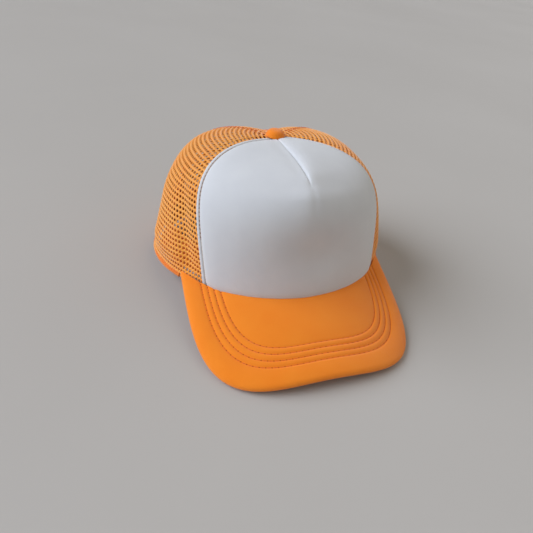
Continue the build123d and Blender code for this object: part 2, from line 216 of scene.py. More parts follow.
def grid_faces(rows, columns, first=0, wrap=False):
    """Quads of a grid of points in row order; wrap joins its last column to its first."""
    across = columns if wrap else columns - 1
    r, c = np.meshgrid(np.arange(rows - 1), np.arange(across), indexing="ij")
    d = (c + 1) % columns
    here, after = r * columns, (r + 1) * columns
    quads = np.stack([here + c, here + d, after + d, after + c], axis=-1)
    return (quads.reshape(-1, 4) + first).tolist()


def capped_faces(rows, columns, first=0):
    """Faces of a closed solid made of rings of points."""
    last = first + (rows - 1) * columns
    ends = [first + k for k in range(columns)][::-1], [last + k for k in range(columns)]
    return grid_faces(rows, columns, first, wrap=True) + list(ends)


def circle(sides):
    return np.linspace(0, 2 * pi, sides, endpoint=False)


def added(name, data):
    obj = bpy.data.objects.new(name, data)
    bpy.context.scene.collection.objects.link(obj)
    return obj


def piece(name, points, faces, material, nodes=(), body="crown", slot=None, levels=0):
    """A mesh object from points in millimetres in the crown's frame, with near points joined."""
    mesh = bpy.data.meshes.new(name)
    placed = (np.asarray(points, float).reshape(-1, 3) + SHIFT) / 1000
    mesh.from_pydata(placed.tolist(), [], faces)
    obj = added(name, mesh)
    work = bmesh.new()
    work.from_mesh(mesh)
    bmesh.ops.remove_doubles(work, verts=work.verts, dist=2e-6)
    bmesh.ops.dissolve_degenerate(work, edges=work.edges, dist=1e-6)
    bmesh.ops.recalc_face_normals(work, faces=work.faces)
    for face in work.faces:
        face.smooth = True
    work.to_mesh(mesh)
    work.free()
    mesh.materials.append(material)
    if levels:
        soft = obj.modifiers.new("soft", "SUBSURF")
        soft.levels = soft.render_levels = levels
    if nodes:
        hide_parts(*nodes)
    if body:
        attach(obj, body)
    return obj


def shell(name, outer, inner, material, **facts):
    """Closed solid between two grids of points."""
    rows, columns = outer.shape[:2]
    count = rows * columns
    index = np.arange(count).reshape(rows, columns)
    loop = [*index[0], *index[1:, -1], *index[-1, -2::-1], *index[-2:0:-1, 0]]
    faces = grid_faces(rows, columns) + [f[::-1] for f in grid_faces(rows, columns, count)]
    loop = [int(v) for v in loop]
    faces += [[a, b, b + count, a + count] for a, b in zip(loop, loop[1:] + loop[:1])]
    points = np.concatenate([outer.reshape(-1, 3), inner.reshape(-1, 3)])
    return piece(name, points, faces, material, **facts)


def tube(name, rings, material, **facts):
    """Closed solid from rings of points, one row each."""
    return piece(name, rings.reshape(-1, 3), capped_faces(*rings.shape[:2]), material, **facts)


def flat_section(low, high, bottom, top, dents=(), depth=0.25, steps=24):
    """Outline of a strip between two widths and two depths, with rounded edges and sewn dents."""
    across = np.linspace(low, high, steps + 1)
    thick = top - bottom
    edge = np.minimum(across - low, high - across)
    round_off = 0.45 * thick * (1 - np.sqrt(1 - (1 - np.clip(edge / (0.9 * thick), 0, 1)) ** 2))
    pressed = sum((depth * bump(across, dent, 0.5) for dent in dents), 0 * across)
    upper = np.stack([across, top - round_off - pressed], axis=-1)
    lower = np.stack([across, bottom + round_off], axis=-1)[::-1]
    return np.concatenate([upper, lower])


def band(name, surface, section, count, material, **facts):
    """Closed strip: surface(along, across, out) carries the section's outline."""
    along = np.linspace(0, 1, count)[:, None]
    return tube(name, surface(along, section[None, :, 0], section[None, :, 1]), material, **facts)


def thread(name, path, normal, material, stitch, gap=0.7, radius=0.28, dots=None, **facts):
    """Separate stitches along a path of points, each with ends that dip into the cloth.

    dots is the material of the dark blobs at the needle holes between them, painted shade of the holes,
    if they show.
    """
    steps = np.linalg.norm(np.diff(path, axis=0), axis=1)
    reach = np.concatenate([[0], np.cumsum(steps)])
    count = max(int(reach[-1] / (stitch + gap)), 1)
    pitch = reach[-1] / count
    shape, sides = np.linspace(-1, 1, 7), 6
    points, faces = [], []

    def at(values, where):
        return np.stack([np.interp(where, reach, values[:, k]) for k in range(3)], axis=-1)

    def blob(rings):
        faces.extend(capped_faces(len(rings), sides, sides * len(points)))
        points.extend(rings)

    turn = circle(sides)
    for i in range(count):
        middle = (i + 0.5) * pitch
        where = middle + shape * (pitch - gap) / 2
        centre, out = at(path, where), at(normal, where)
        ahead = at(path, [where[-1]])[0] - at(path, [where[0]])[0]
        ahead /= np.linalg.norm(ahead)
        side = np.cross(out, ahead)
        fat = radius * np.sqrt(np.clip(1.02 - shape**2, 0.02, 1))
        sunk = -STITCH_DIP * shape**4
        rings = []
        for k in range(len(shape)):
            over = (sunk[k] + fat[k] * np.sin(turn))[:, None]
            beside = (fat[k] * np.cos(turn))[:, None]
            rings.append(centre[k] + out[k] * over + side[k] * beside)
        blob(rings)
    threads = len(faces)
    # Dark blobs sunk at the needle holes between stitches, coloured as painted shade.
    if dots:
        for i in range(count + 1):
            where = min(i * pitch, reach[-1])
            centre, out = at(path, [where])[0], at(normal, [where])[0]
            ahead = at(path, [min(where + 0.2, reach[-1])])[0] - at(path, [max(where - 0.2, 0)])[0]
            ahead /= np.linalg.norm(ahead)
            side = np.cross(out, ahead)
            ring = ahead * np.cos(turn)[:, None] + side * np.sin(turn)[:, None]
            blob([centre + out * h * radius + ring * r * radius for r, h in NEEDLE_HOLE])
    obj = piece(name, np.concatenate(points), faces, material, **facts)
    if dots:
        obj.data.materials.append(dots)
        for face in obj.data.polygons:
            face.material_index = int(face.index >= threads)
    return obj


# ---- materials ----

CLOTH_BLOTCH, PLASTIC_BLOTCH = 45.0, 60.0


def nodes_of(name):
    material = bpy.data.materials.new(name)
    material.use_nodes = True
    tree = material.node_tree
    return material, tree, tree.nodes["Principled BSDF"]


def noise(tree, scale, detail=4.0):
    place = tree.nodes.get("place") or tree.nodes.new("ShaderNodeTexCoord")
    place.name = "place"
    node = tree.nodes.new("ShaderNodeTexNoise")
    node.inputs["Scale"].default_value = scale
    node.inputs["Detail"].default_value = detail
    node.inputs["Roughness"].default_value = 0.55
    tree.links.new(place.outputs["Object"], node.inputs["Vector"])
    return node


def weave(tree, scale):
    node = tree.nodes.new("ShaderNodeTexWave")
    node.wave_type = "BANDS"
    node.bands_direction = "DIAGONAL"
    node.inputs["Scale"].default_value = scale
    node.inputs["Distortion"].default_value = 1.5
    node.inputs["Detail"].default_value = 1.0
    node.inputs["Detail Scale"].default_value = 2.0
    tree.links.new(tree.nodes["place"].outputs["Object"], node.inputs["Vector"])
    return node


def mixed(tree, factor, low, high):
    """Colour between low and high by a factor socket."""
    ramp_node = tree.nodes.new("ShaderNodeValToRGB")
    ramp_node.color_ramp.elements[0].position = 0.3
    ramp_node.color_ramp.elements[1].position = 0.7
    ramp_node.color_ramp.elements[0].color = (*low, 1)
    ramp_node.color_ramp.elements[1].color = (*high, 1)
    tree.links.new(factor, ramp_node.inputs["Fac"])
    return ramp_node.outputs["Color"]


def bumped(tree, shader, height, strength, distance, below=None):
    node = tree.nodes.new("ShaderNodeBump")
    node.inputs["Strength"].default_value = strength
    node.inputs["Distance"].default_value = distance
    tree.links.new(height, node.inputs["Height"])
    if below:
        tree.links.new(below, node.inputs["Normal"])
    tree.links.new(node.outputs["Normal"], shader.inputs["Normal"])
    return node.outputs["Normal"]


def cloth(name, low, high, grain=1400.0, ridge=2200.0, depth=0.00012, roughness=0.85, sheen=0.25):
    """Woven or knitted cloth: fine grain and ribs in the bump, soft blotches in the colour."""
    material, tree, shader = nodes_of(name)
    patches = noise(tree, CLOTH_BLOTCH, 3.0)
    tree.links.new(mixed(tree, patches.outputs["Fac"], low, high), shader.inputs["Base Color"])
    fine = noise(tree, grain, 2.0)
    below = bumped(tree, shader, fine.outputs["Fac"], 0.5, depth)
    ribs = weave(tree, ridge)
    bumped(tree, shader, ribs.outputs["Fac"], 0.35, depth, below)
    shader.inputs["Roughness"].default_value = roughness
    shader.inputs["Sheen Weight"].default_value = sheen
    shader.inputs["Sheen Roughness"].default_value = 0.5
    shader.inputs["Specular IOR Level"].default_value = 0.25
    return material


def plastic(name, low, high, roughness, metallic=0.0, translucent=0.0):
    """Smooth moulded surface or metal, with a faint grain."""
    material, tree, shader = nodes_of(name)
    patches = noise(tree, PLASTIC_BLOTCH, 3.0)
    tree.links.new(mixed(tree, patches.outputs["Fac"], low, high), shader.inputs["Base Color"])
    fine = noise(tree, 500.0, 4.0)
    bumped(tree, shader, fine.outputs["Fac"], 0.3, 0.00005)
    shader.inputs["Roughness"].default_value = roughness
    shader.inputs["Metallic"].default_value = metallic
    shader.inputs["Subsurface Weight"].default_value = translucent
    shader.inputs["Subsurface Radius"].default_value = (0.004, 0.0015, 0.0004)
    shader.inputs["Subsurface Scale"].default_value = 1.0
    return material


WHITE_CLOTH = cloth(
    "white_foam_cloth", (0.69, 0.695, 0.71), (0.72, 0.725, 0.735), grain=1000, depth=0.00024, sheen=0.15
)
# Foam tinted darker and warmer than white, as painted warm shade where it shows through the mesh holes.
FOAM_WITH_PAINTED_SHADE = cloth(
    "white_foam", (0.74, 0.66, 0.54), (0.80, 0.73, 0.61), grain=700, depth=0.0002, ridge=900
)
ORANGE_MESH = cloth(
    "orange_mesh", (1.0, 0.345, 0.026), (1.0, 0.40, 0.04), grain=2400, roughness=0.45, sheen=0.5
)
ORANGE_COVER = cloth(
    "orange_visor_cloth", (0.98, 0.25, 0.008), (1.0, 0.275, 0.012), grain=1500, depth=0.00014
)
ORANGE_TAPE = cloth(
    "orange_tape", (0.80, 0.19, 0.015), (0.92, 0.25, 0.025), grain=1800, ridge=1500, depth=0.0002
)
WHITE_TAPE = cloth(
    "white_tape", (0.66, 0.65, 0.62), (0.74, 0.73, 0.70), grain=1800, ridge=1500, depth=0.0002
)
SWEATBAND = cloth(
    "sweatband_cloth", (0.82, 0.21, 0.016), (0.90, 0.25, 0.022), grain=1600, ridge=1100, depth=0.00025
)
ORANGE_THREAD = cloth(
    "orange_thread", (0.74, 0.13, 0.010), (0.86, 0.17, 0.015), grain=4000, ridge=5000, depth=0.0001
)
PALE_THREAD = cloth(
    "pale_thread", (0.42, 0.26, 0.17), (0.58, 0.43, 0.33), grain=4000, ridge=5000, depth=0.0001
)
# Dark blobs at the needle holes: painted shade of the holes and of the thread beside them.
NEEDLE_HOLE_SHADE_ORANGE = cloth("needle_hole_painted_shade_orange", (0.50, 0.07, 0.005), (0.58, 0.09, 0.008), sheen=0.0)
NEEDLE_HOLE_SHADE_PALE = cloth("needle_hole_painted_shade_pale", (0.20, 0.11, 0.07), (0.26, 0.15, 0.10), sheen=0.0)
ORANGE_PLASTIC = plastic(
    "orange_strap", (0.86, 0.20, 0.012), (0.93, 0.24, 0.018), roughness=0.35, translucent=0.3
)
BOARD_PLASTIC = plastic("visor_board_sheet", (0.60, 0.61, 0.61), (0.68, 0.69, 0.69), roughness=0.5)
BUTTON_METAL = plastic(
    "button_metal", (0.55, 0.55, 0.56), (0.64, 0.64, 0.65), roughness=0.35, metallic=1.0
)


# ---- front panel ----

def front_relief(azimuth, climb):
    """How far the padded front stands off the crown's surface."""
    seam = front_seam(climb)
    width = per_radian(azimuth, climb)
    from_seam = (seam - np.abs(azimuth)) * width
    rise = np.clip((from_seam - EDGE_STRIP) / SHOULDER, 0, 1)
    puff = EDGE_DROP * (np.sqrt(1 - (1 - rise) ** 2) - 1)
    strip = np.clip(from_seam / EDGE_STRIP, 0, 1)
    flat = -EDGE_DROP + 0.75 * np.sin(pi * np.clip(strip / 0.9, 0, 1)) ** 0.6
    flat = flat - 0.55 * bump(from_seam, EDGE_STRIP, 0.6)
    out = np.where(from_seam < EDGE_STRIP, flat, puff)
    out = out + 0.5 * ramp(from_seam, EDGE_STRIP, 16)

    height = dome_point(azimuth, climb)[..., 2] - rim_height(azimuth)
    foot = np.clip((height - RIM_DROP + 0.2) / 5.0, 0, 1)
    out = out + 1.3 * (np.sqrt(1 - (1 - foot) ** 2) - 1)

    # The dart runs from the button down the middle and ends in a soft peak.
    across = azimuth * width
    down = np.linalg.norm(dome_point(azimuth, climb) - dome_point(0.0, DART_END), axis=-1)
    along = ramp(climb, DART_END - 0.015, DART_END + 0.05)
    fade = 1 - 0.45 * ramp(climb, 0.75, 0.95)
    right = np.maximum(across, 0)
    settle = ramp(climb, DART_END - 0.03, DART_END + 0.16)
    ridge = (1 - np.exp(-right / 3.2)) * bump(right, 0, 26)
    ridge = ridge * (settle + (1 - settle) * np.exp(-right / 4))
    crease = bump(across, -0.3, 0.75)
    sides = DART_RIDGE * ridge - DART_CREASE * crease - 0.4 * bump(across, -5, 5)
    out = out + along * fade * sides
    out = out + PEAK_HEIGHT * np.exp(-np.hypot(down, 3.0) / PEAK_SPREAD) - 0.7 * bump(down, 0, 3.5)
    below = ramp(DART_END - climb, 0.0, 0.06)
    keel = np.exp(-np.hypot(across + 4, 3) / 26) * np.exp(-down / 60)
    out = out + below * (3.0 * keel - 0.9 * bump(across, 0.5, 2.2) * np.exp(-down / 8))
    hollow = bump(across, 10, 30) * bump(climb, 0.27, 0.13)
    out = out - HOLLOW_DEPTH * hollow
    wrinkle = np.sin(across * 0.42 + climb * 23) * np.sin(climb * 31 + across * 0.11)
    out = out + 0.05 * wrinkle * (1 - along) * ramp(from_seam, 8, 25)
    return out - 0.4 * ramp(climb, 0.93, PANEL_TOP)


def front_grid(rows, columns, offset, relief=1.0):
    """Grid over the front panel, finer beside its seams and its dart."""
    t = np.linspace(-1, 1, columns)
    across = np.sign(t) * (0.5 - 0.5 * np.cos(pi * np.abs(t))) * 0.55 + t * 0.45
    climb = PANEL_TOP * np.linspace(0, 1, rows)[:, None]
    azimuth = across[None, :] * front_seam(climb)
    return dome(azimuth, climb, offset + relief * front_relief(azimuth, climb))


def front_panel():
    face = shell(
        "front_panel", front_grid(170, 271, 0.0), front_grid(170, 271, -0.55), WHITE_CLOTH,
        nodes=["front_panel_face"], slot="front_fabric",
    )
    foam = shell(
        "front_foam", front_grid(60, 70, -0.6), front_grid(60, 70, -3.0, 0.6), FOAM_WITH_PAINTED_SHADE,
        nodes=["front_panel_foam"], slot="front_foam",
    )
    for side, sign in (("left", 1), ("right", -1)):
        climb = np.linspace(0.040, 0.955, 160)
        azimuth = sign * (front_seam(climb) - EDGE_STRIP / per_radian(front_seam(climb), climb))
        path = dome(azimuth, climb, front_relief(azimuth, climb) + 0.3)
        normal = dome(azimuth, climb, 1.0) - dome(azimuth, climb)
        thread(
            f"front_topstitch_{side}", path, normal, PALE_THREAD, stitch=2.1, gap=0.9, radius=0.48,
            dots=NEEDLE_HOLE_SHADE_PALE, nodes=[f"front_topstitch_{side}"], slot="white_thread",
        )


# ---- mesh ----

def mesh_wave(azimuth, climb):
    """Soft folds of the mesh: pulled in beside the front seam, flared behind it."""
    turn = np.abs(azimuth)
    left = np.where(azimuth > 0, 1.0, 0.0)
    from_seam = (turn - front_seam(climb)) * per_radian(azimuth, climb)
    behind = np.maximum(np.degrees(turn - front_seam(climb)), 0)
    drop = -MESH_DROP_AT_SEAM * np.exp(-((behind / MESH_DROP_SPAN) ** 2))
    low = ramp(climb, 0.02, 0.12) * (1 - ramp(climb, 0.32, 0.55))
    valley = (-3.6 + 5.6 * left) * bump(from_seam, 13 + 16 * climb, 8 + 6 * left)
    swell = (5.0 - 2.5 * left) * bump(from_seam, 55, 26)
    upper = 0.5 * ramp(from_seam, 2, 22) * bump(climb, 0.62, 0.22)
    rear = 0.9 * np.sin(turn * 9 + climb * 5) * ramp(from_seam, 30, 70) * (1 - ramp(climb, 0.5, 0.9))
    point = dome_point(azimuth, climb)
    from_arch = np.hypot(point[..., 0] / ARCH_HALF_WIDTH, point[..., 2] / ARCH_HEIGHT)
    rear = rear * ramp(from_arch, 1.16, 1.6)
    return drop + low * (valley + swell) + upper + rear


def honeycomb(name, start, end, sign, keep=None):
    """Net of rounded strands round staggered holes, cut along its panel's seams."""
    levels = np.linspace(0, PANEL_TOP, 240)
    middle = (start(levels) + end(levels)) / 2
    spine = dome_point(middle, levels)
    reach = np.concatenate([[0], np.cumsum(np.linalg.norm(np.diff(spine, axis=0), axis=1))])
    width = per_radian(middle, levels)

    def limits(t):
        c = np.interp(t, reach, levels)
        w, m = np.interp(c, levels, width), (start(c) + end(c)) / 2
        return (start(c) - m) * w, (end(c) - m) * w

    def on_crown(s, t):
        c = np.interp(t, reach, levels)
        return (start(c) + end(c)) / 2 + s / np.interp(c, levels, width), c

    half = MESH_COLUMN / 2
    corner = [(0, 2), (1, 1), (1, 0), (1, -1), (0, -2), (-1, -1), (-1, 0), (-1, 1)]
    cells = []
    for row in range(int(reach[-1] / MESH_ROW) + 1):
        t = (row + FIRST_ROW) * MESH_ROW
        if t > reach[-1] - 0.3 * MESH_ROW:
            continue
        lo, hi = limits(t)
        for column in range(int(lo / MESH_COLUMN) - 2, int(hi / MESH_COLUMN) + 3):
            step = 2 * column + row % 2
            if not lo + half / 2 < step * half < hi - half / 2:
                continue
            azimuth, climb = on_crown(step * half, t)
            if keep is None or keep(azimuth, climb):
                cells.append((step, 3 * row))

    shared, uses, edges = {}, {}, {}
    for cell in cells:
        ring = [(cell[0] + a, cell[1] + b) for a, b in corner]
        for k, key in enumerate(ring):
            shared.setdefault(key, len(shared))
            uses[key] = uses.get(key, 0) + 1
            pair = frozenset((key, ring[(k + 1) % 8]))
            edges[pair] = edges.get(pair, 0) + 1

    keys = list(shared)
    s = np.array([k[0] * half for k in keys], float)
    t = np.array([(k[1] / 3 + FIRST_ROW) * MESH_ROW for k in keys], float)
    link = np.array([k[1] % 3 == 0 and (k[1] // 3 + k[0]) % 2 == 1 for k in keys])
    edge_corner = np.array([uses[k] < (2 if is_link else 3) for k, is_link in zip(keys, link)])
    lo, hi = limits(t)
    s = np.where(edge_corner & (s - lo < EDGE_SNAP * MESH_COLUMN), lo, s)
    s = np.where(edge_corner & (hi - s < EDGE_SNAP * MESH_COLUMN), hi, s)
    t = np.where(edge_corner & (t < EDGE_SNAP * MESH_ROW), 0.0, t)
    azimuth, climb = on_crown(s, np.clip(t, 0, reach[-1]))
    base = mesh_wave(sign * azimuth, climb) - MESH_SINK
    tall = np.where(link & ~edge_corner, LINK_HEIGHT, RIB_HEIGHT)
    top = dome(sign * azimuth, climb, base + tall)
    bottom = dome(sign * azimuth, climb, base - tall * 0.8)

    hole_s, hole_t = [], []
    for cell in cells:
        cs, ct = cell[0] * half, (cell[1] / 3 + FIRST_ROW) * MESH_ROW
        for a, b in corner:
            index = shared[(cell[0] + a, cell[1] + b)]
            hole_s.append(cs + (s[index] - cs) * HOLE_ACROSS)
            hole_t.append(ct + (t[index] - ct) * HOLE_UP)
    azimuth, climb = on_crown(np.array(hole_s), np.clip(np.array(hole_t), 0, reach[-1]))
    ring = dome(sign * azimuth, climb, mesh_wave(sign * azimuth, climb) - MESH_SINK)

    n, faces = len(keys), []
    for i, cell in enumerate(cells):
        loop = [shared[(cell[0] + a, cell[1] + b)] for a, b in corner]
        hole = [2 * n + 8 * i + k for k in range(8)]
        for k in range(8):
            m = (k + 1) % 8
            faces.append([loop[k], loop[m], hole[m], hole[k]])
            faces.append([n + loop[m], n + loop[k], hole[k], hole[m]])
    for pair, count in edges.items():
        if count == 1:
            a, b = (shared[k] for k in pair)
            faces.append([a, b, n + b, n + a])
    points = np.concatenate([top, bottom, ring])
    return piece(name, points, faces, ORANGE_MESH, nodes=[name], slot="mesh", levels=1)


def outside_arch(azimuth, climb):
    x, _, z = dome_point(azimuth, climb)
    width, height = ARCH_HALF_WIDTH + ARCH_CLEARANCE, ARCH_HEIGHT + ARCH_CLEARANCE
    return (x / width) ** 2 + (z / height) ** 2 > 1


def under_front(climb):
    """The side mesh's front edge, tucked under the front panel."""
    return front_seam(climb) - MESH_TUCK / per_radian(front_seam(climb), climb)


def mesh_panels():
    for side, sign in (("left", 1), ("right", -1)):
        honeycomb(f"side_mesh_{side}", under_front, side_seam, sign)
        honeycomb(f"rear_mesh_{side}", side_seam, back_seam, sign, keep=outside_arch)


# ---- tapes, hem, bindings and sweatband ----

def seam_tape(name, seam, sign, low, high, bottom, top, start, end, material, **facts):
    def surface(along, across, out):
        climb = start + (end - start) * along
        at = seam(climb)
        azimuth = at + across / per_radian(at, climb)
        return dome(sign * azimuth, climb, out + 0.15 * np.sin(along * 70 + across))

    section = flat_section(low, high, bottom, top, dents=(low + 1.5, high - 1.5))
    return band(name, surface, section, 90, material, **facts)


def arch_climb(grow):
    """Climb of the rear opening's top along the back seam."""
    levels = np.linspace(0, 0.9, 400)
    z = dome_point(np.full(400, pi), levels)[:, 2]
    return float(np.interp(ARCH_HEIGHT + grow, z, levels))


def seam_line(name, seam, sign, start, end, offset, material, **facts):
    """Stitches along a seam, offset to one side of it."""
    climb = np.linspace(start, end, 160)
    at = seam(climb)
    azimuth = sign * (at + offset / per_radian(at, climb))
    path = dome(azimuth, climb, mesh_wave(azimuth, climb) + 0.35)
    normal = dome(azimuth, climb, 1.0) - dome(azimuth, climb)
    return thread(name, path, normal, material, stitch=2.4, gap=0.6, radius=0.24, **facts)


def seam_tapes():
    for side, sign in (("left", 1), ("right", -1)):
        seam_tape(
            f"front_seam_tape_{side}", front_seam, sign, *FRONT_TAPE, 0.0, TAPE_TOP,
            WHITE_TAPE, nodes=[f"front_seam_tape_{side}"], slot="white_tape",
        )
        seam_tape(
            f"side_seam_tape_{side}", side_seam, sign, *MESH_TAPE, 0.0, TAPE_TOP,
            ORANGE_TAPE, nodes=[f"side_seam_tape_{side}"], slot="orange_tape",
        )
        for number, offset in SEAM_STITCHES:
            seam_line(
                f"side_seam_stitches_{side}_{number}", side_seam, sign, 0.02, TAPE_TOP, offset,
                ORANGE_THREAD, slot="orange_thread",
            )
    start = arch_climb(BINDING_WIDTH + 0.2)
    seam_tape(
        "back_seam_tape", back_seam, 1, *MESH_TAPE, start, TAPE_TOP, ORANGE_TAPE,
        nodes=["back_seam_tape"], slot="orange_tape",
    )
    for number, offset in SEAM_STITCHES:
        seam_line(
            f"back_seam_stitches_{number}", back_seam, 1, start, TAPE_TOP, offset, ORANGE_THREAD,
            slot="orange_thread",
        )


def wall_band(name, start, end, section, material, count=160, ripple=0.0, **facts):
    """Band round the crown's wall: the section is (height above the rim, distance out)."""

    def surface(along, across, out):
        azimuth = np.radians(start + (end - start) * along) + 0 * across
        return wall(azimuth, across, out + ripple * np.sin(azimuth * 23) * np.sin(azimuth * 7))

    return band(name, surface, section, count, material, **facts)


def wall_stitches(name, start, end, height, out, material, **facts):
    azimuth = np.radians(np.linspace(start, end, 240))
    path = wall(azimuth, height, out)
    normal = wall(azimuth, height, 1.0) - wall(azimuth, height)
    if out < -2:
        normal = -normal
    return thread(name, path, normal, material, stitch=2.6, gap=0.7, radius=0.25, **facts)


def rim_pieces():
    arch_edge = 180 - STRAP_ROOT - 6.5
    for side, sign in (("left", 1), ("right", -1)):
        wall_band(
            f"rim_hem_{side}", sign * (VISOR_END - 1), sign * arch_edge,
            flat_section(HEM_LOW, HEM_HIGH, -1.2, 0.65, dents=(HEM_STITCHES,), steps=14), ORANGE_TAPE,
            nodes=[f"rim_hem_{side}"], slot="orange_tape",
        )
        wall_stitches(
            f"rim_hem_stitches_{side}", sign * VISOR_END, sign * arch_edge, HEM_STITCHES, 0.5,
            ORANGE_THREAD, slot="orange_thread",
        )
    band_end = 180 - STRAP_ROOT - 5.5
    section = flat_section(SWEATBAND_LOW, SWEATBAND_HIGH, SWEATBAND_IN, SWEATBAND_OUT, steps=30)
    wall_band(
        "sweatband", -band_end, band_end, section, SWEATBAND, count=220, ripple=0.25,
        nodes=["sweatband"], slot="sweatband",
    )
    wall_band(
        "visor_seam_binding", -VISOR_END, VISOR_END, flat_section(*VISOR_BINDING), WHITE_TAPE,
        nodes=["visor_seam_binding"], slot="white_tape",
    )
    for number, height in ((1, 3.0), (2, 27.5)):
        wall_stitches(
            f"sweatband_stitches_{number}", -band_end + 1, band_end - 1, height, -6.38, ORANGE_THREAD,
            slot="orange_thread",
        )


def rear_point(x, z, out):
    """Point of the rear wall at a given x and height."""
    x, z, out = np.broadcast_arrays(x, z, out)
    azimuth = pi - np.arcsin(np.clip(x / REAR_REACH, -0.95, 0.95))
    for _ in range(8):
        at = wall_point(azimuth, z - rim_height(np.clip(azimuth, -pi, pi)))
        azimuth = azimuth + (at[..., 0] - x) / np.maximum(at[..., 1], 40)
    back = np.where(azimuth > pi, azimuth - 2 * pi, azimuth)
    return wall(back, z - rim_height(back), out)


def arch_surface(along, across, out):
    turn = radians(3) + (pi - 2 * radians(3)) * along
    x = (ARCH_HALF_WIDTH + across) * np.cos(turn)
    z = (ARCH_HEIGHT + across) * np.sin(turn)
    return rear_point(x, z, out)


def rear_binding():
    dents = [across for _, across in BINDING_STITCHES]
    section = flat_section(0.0, BINDING_WIDTH, -1.6, 0.6, dents=dents, depth=0.2)
    band(
        "rear_opening_binding", arch_surface, section, 120, ORANGE_TAPE,
        nodes=["rear_opening_binding"], slot="orange_tape",
    )
    along = np.linspace(0.01, 0.99, 240)
    for number, across in BINDING_STITCHES:
        path = arch_surface(along, across, 0.5)
        normal = arch_surface(along, across, 1.0) - arch_surface(along, across, 0.0)
        thread(
            f"rear_binding_stitches_{number}", path, normal, ORANGE_THREAD, stitch=2.4, gap=0.6,
            radius=0.24, slot="orange_thread",
        )


# ---- visor ----

def outline(u, inset):
    """Plan of the visor's edge, u from -1 to 1, set in by inset."""
    back = -rim_radius(np.radians(VISOR_END)) * np.cos(np.radians(VISOR_END))
    length = back + FRONT + VISOR_LENGTH - inset
    width = VISOR_HALF_WIDTH - inset
    s, c = np.sin(u * pi / 2), np.maximum(np.cos(u * pi / 2), 1e-9)
    size = (np.abs(s) ** VISOR_SQUARENESS + c**VISOR_SQUARENESS) ** (1 / VISOR_SQUARENESS)
    return width * s / size, back - length * c / size


def crown_inset(u, tuck):
    """Inset at which the visor meets the crown, found by halving."""
    low, high = np.zeros_like(u), np.full_like(u, DEEPEST_INSET)
    for _ in range(30):
        middle = (low + high) / 2
        x, y = outline(u, middle)
        azimuth = np.arctan2(x, -y)
        edge = wall(azimuth, RIM_DROP, -tuck)
        outside = np.hypot(x, y) > np.hypot(edge[..., 0], edge[..., 1])
        low, high = np.where(outside, middle, low), np.where(outside, high, middle)
    return (low + high) / 2


def visor_relief(inset):
    """Padding between the sewn rows of the visor's top."""
    edge = 0.7 * np.sin(pi * np.clip(inset / FIRST_ROW_INSET, 0, 1)) ** 0.8
    rows = 0.3 * np.abs(np.sin(pi * (inset - FIRST_ROW_INSET) / ROW_PITCH)) ** 0.7
    inner = 0.75 * (1 - np.exp(-(inset - LAST_ROW_INSET) / 3.0))
    out = np.where(inset < FIRST_ROW_INSET, edge, np.where(inset < LAST_ROW_INSET, rows, inner))
    groove = sum(bump(inset, FIRST_ROW_INSET + k * ROW_PITCH, 0.55) for k in range(STITCH_ROWS))
    return out - 0.6 * groove


def visor_point(u, inset, depth):
    x, y = outline(u, inset)
    return np.stack([x, y, visor_height(x, y) + depth], axis=-1)


def visor_columns(count, tuck):
    """Outline positions that clear the crown, closer together round the corners."""
    u = np.linspace(-1, 1, 4001)
    inset = crown_inset(u, tuck)
    free = u[inset > 0.5]
    x, y = outline(np.linspace(free[0], free[-1], 2000), 0.0)
    reach = np.concatenate([[0], np.cumsum(np.hypot(np.diff(x), np.diff(y)))])
    return np.interp(np.linspace(0, reach[-1], count), reach, np.linspace(free[0], free[-1], 2000))


def stitch_paths():
    """Lines of the visor's sewn rows."""
    paths = []
    for row in range(STITCH_ROWS):
        inset = FIRST_ROW_INSET + row * ROW_PITCH
        spread = np.linspace(-1, 1, 3000)
        free = spread[crown_inset(spread, 0.0) > inset + 0.3]
        at = np.linspace(free[0], free[-1], 900)
        level = np.full_like(at, inset)
        paths.append(visor_point(at, level, visor_relief(level) + 0.16))
    return paths


def swell_cloth(obj, sewn, reach):
    """Cloth simulation of padding: everything but the top's cloth between its seams is held."""
    lines = np.concatenate(sewn)
    tree = kdtree.KDTree(len(lines))
    for number, point in enumerate((lines + SHIFT) / 1000):
        tree.insert(Vector(point), number)
    tree.balance()
    group = obj.vertex_groups.new(name="sewn")
    for vertex in obj.data.vertices:
        distance = tree.find(vertex.co)[2] * 1000
        free = vertex.normal.z > 0.3 and distance > reach
        group.add([vertex.index], 0.0 if free else 1.0, "REPLACE")
    before = np.array([vertex.co[:] for vertex in obj.data.vertices])
    sim = obj.modifiers.new("padding", "CLOTH")
    sim.settings.vertex_group_mass = "sewn"
    sim.settings.quality = 5
    sim.settings.mass = 0.1
    sim.settings.tension_stiffness = sim.settings.compression_stiffness = 5
    sim.settings.bending_stiffness = 0.2
    sim.settings.use_pressure = True
    sim.settings.uniform_pressure_force = PAD_PRESSURE
    sim.settings.effector_weights.gravity = 0
    sim.collision_settings.use_collision = False
    scene = bpy.context.scene
    for step in range(1, SIM_FRAMES + 1):
        scene.frame_set(step)
    solved = obj.evaluated_get(bpy.context.evaluated_depsgraph_get())
    after = np.array([vertex.co[:] for vertex in solved.data.vertices])
    obj.modifiers.remove(sim)
    scene.frame_set(1)
    move = after - before
    far = np.linalg.norm(move, axis=1, keepdims=True)
    move *= np.minimum(1, PAD_SWELL / np.maximum(far, 1e-9))
    obj.data.vertices.foreach_set("co", (before + move).ravel())
    obj.data.update()


